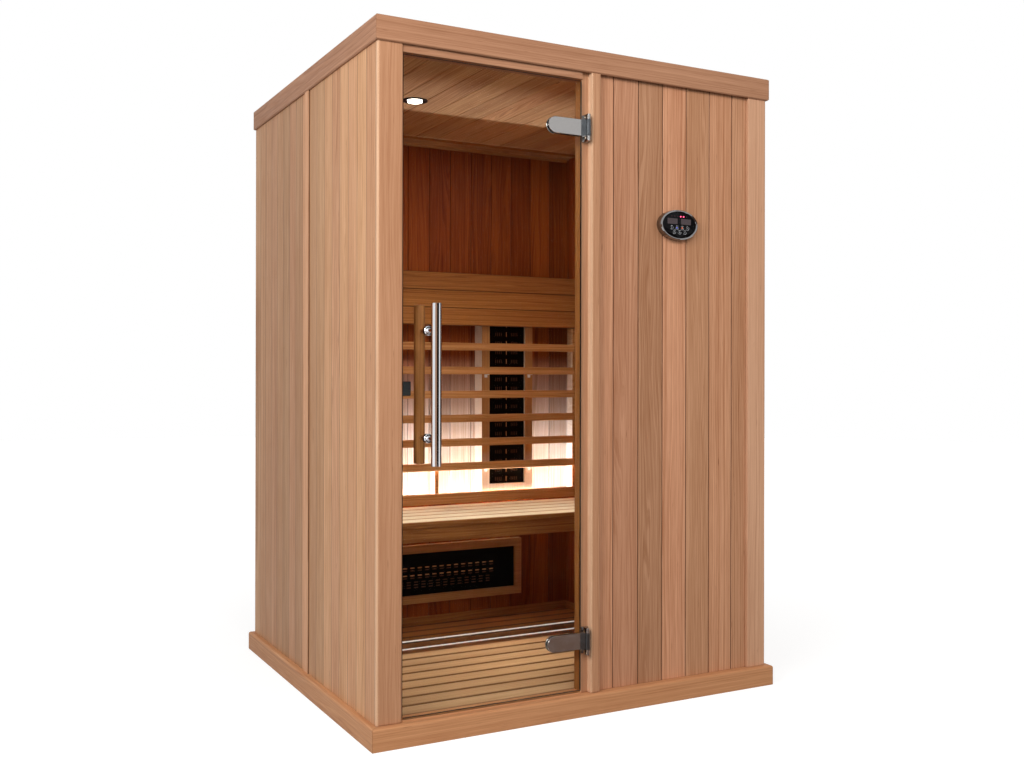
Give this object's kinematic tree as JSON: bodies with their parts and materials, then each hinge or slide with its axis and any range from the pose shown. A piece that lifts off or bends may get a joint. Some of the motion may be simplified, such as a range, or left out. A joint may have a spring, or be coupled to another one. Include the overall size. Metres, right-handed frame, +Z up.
{
  "type": "infrared sauna cabin",
  "caption": "Wooden infrared sauna cabin with a hinged glass door, slatted bench and backrest, black panel heaters, a slatted floor and an oval key panel on the front.",
  "frame": {"origin": "Centre of the cabin's base on the floor, on the underside of the middle floor bearer.", "axes": "+X to the right seen from the front, +Y to the back, +Z up. The glass door is on the left of the front, which faces -Y."},
  "size_m": [1.336, 1.2618, 1.9],
  "materials": {
    "outside_wood": "clear satin lacquer",
    "trim_wood": "clear satin lacquer",
    "inside_wood": "bare planed wood",
    "pale_wood": "bare planed wood",
    "door_glass": "clear tempered",
    "bright_metal": "polished",
    "black_plastic": "gloss",
    "heater_black": "matt black",
    "lamp_white": "opal diffuser",
    "sheet_steel": "grey powder coat"
  },
  "bodies": {
    "cabin": {"plinth_front": "trim_wood", "plinth_rear": "trim_wood", "plinth_left": "trim_wood", "plinth_right": "trim_wood", "fascia_front": "trim_wood", "fascia_rear": "trim_wood", "fascia_left": "trim_wood", "fascia_right": "trim_wood", "floor_panel": "outside_wood", "left_wall_front": "outside_wood", "left_wall_rear": "outside_wood", "right_wall_front": "outside_wood", "right_wall_rear": "outside_wood", "front_left_stile": "outside_wood", "front_right_stile": "outside_wood", "front_header": "outside_wood", "door_jamb": "outside_wood", "front_boards": "outside_wood", "rear_wall": "inside_wood", "roof_panel": "inside_wood", "bench_front_board": "inside_wood", "bench_cleat_left": "inside_wood", "bench_cleat_right": "inside_wood", "headrest": "inside_wood", "backrest_lattice": "inside_wood", "back_heater_frame_left": "inside_wood", "back_heater_frame_right": "inside_wood", "calf_heater_frame": "inside_wood", "duckboard": "pale_wood", "bench_seat": "pale_wood", "hinge_bracket_upper": "bright_metal", "hinge_bracket_lower": "bright_metal", "hinge_pin_upper": "bright_metal", "hinge_pin_lower": "bright_metal", "control_bezel": "bright_metal", "downlight_left": "bright_metal", "downlight_right": "bright_metal", "door_catch": "black_plastic", "control_face": "black_plastic", "back_heater_panel_left": "heater_black", "back_heater_panel_right": "heater_black", "calf_heater_panel": "heater_black", "light_strip": "lamp_white", "power_box": "sheet_steel"},
    "door": {"door_glass": "door_glass", "hinge_strap_upper": "bright_metal", "hinge_strap_lower": "bright_metal", "hinge_clamp_upper": "bright_metal", "hinge_clamp_lower": "bright_metal", "handle_tube": "bright_metal", "handle_bar_inner": "inside_wood", "handle_post_upper": "bright_metal", "handle_post_lower": "bright_metal"},
    "control_key_1": {"control_key_1": "black_plastic"},
    "control_key_2": {"control_key_2": "black_plastic"},
    "control_key_3": {"control_key_3": "black_plastic"},
    "control_key_4": {"control_key_4": "black_plastic"},
    "control_key_5": {"control_key_5": "black_plastic"},
    "control_key_6": {"control_key_6": "black_plastic"},
    "control_key_7": {"control_key_7": "black_plastic"}
  },
  "joints": [
    {"name": "door_hinge", "type": "hinge", "parent": "cabin", "child": "door", "pos_m": [-0.016, -0.604, 0.9405], "axis": [0, 0, 1], "range_deg": [0, 105]},
    {"name": "key_1_press", "type": "slide", "parent": "cabin", "child": "control_key_1", "axis": [0, 1, 0], "range_m": [0, 0.001], "stiffness_N_per_m": 200},
    {"name": "key_2_press", "type": "slide", "parent": "cabin", "child": "control_key_2", "axis": [0, 1, 0], "range_m": [0, 0.001], "stiffness_N_per_m": 200},
    {"name": "key_3_press", "type": "slide", "parent": "cabin", "child": "control_key_3", "axis": [0, 1, 0], "range_m": [0, 0.001], "stiffness_N_per_m": 200},
    {"name": "key_4_press", "type": "slide", "parent": "cabin", "child": "control_key_4", "axis": [0, 1, 0], "range_m": [0, 0.001], "stiffness_N_per_m": 200},
    {"name": "key_5_press", "type": "slide", "parent": "cabin", "child": "control_key_5", "axis": [0, 1, 0], "range_m": [0, 0.001], "stiffness_N_per_m": 200},
    {"name": "key_6_press", "type": "slide", "parent": "cabin", "child": "control_key_6", "axis": [0, 1, 0], "range_m": [0, 0.001], "stiffness_N_per_m": 200},
    {"name": "key_7_press", "type": "slide", "parent": "cabin", "child": "control_key_7", "axis": [0, 1, 0], "range_m": [0, 0.001], "stiffness_N_per_m": 200}
  ]
}
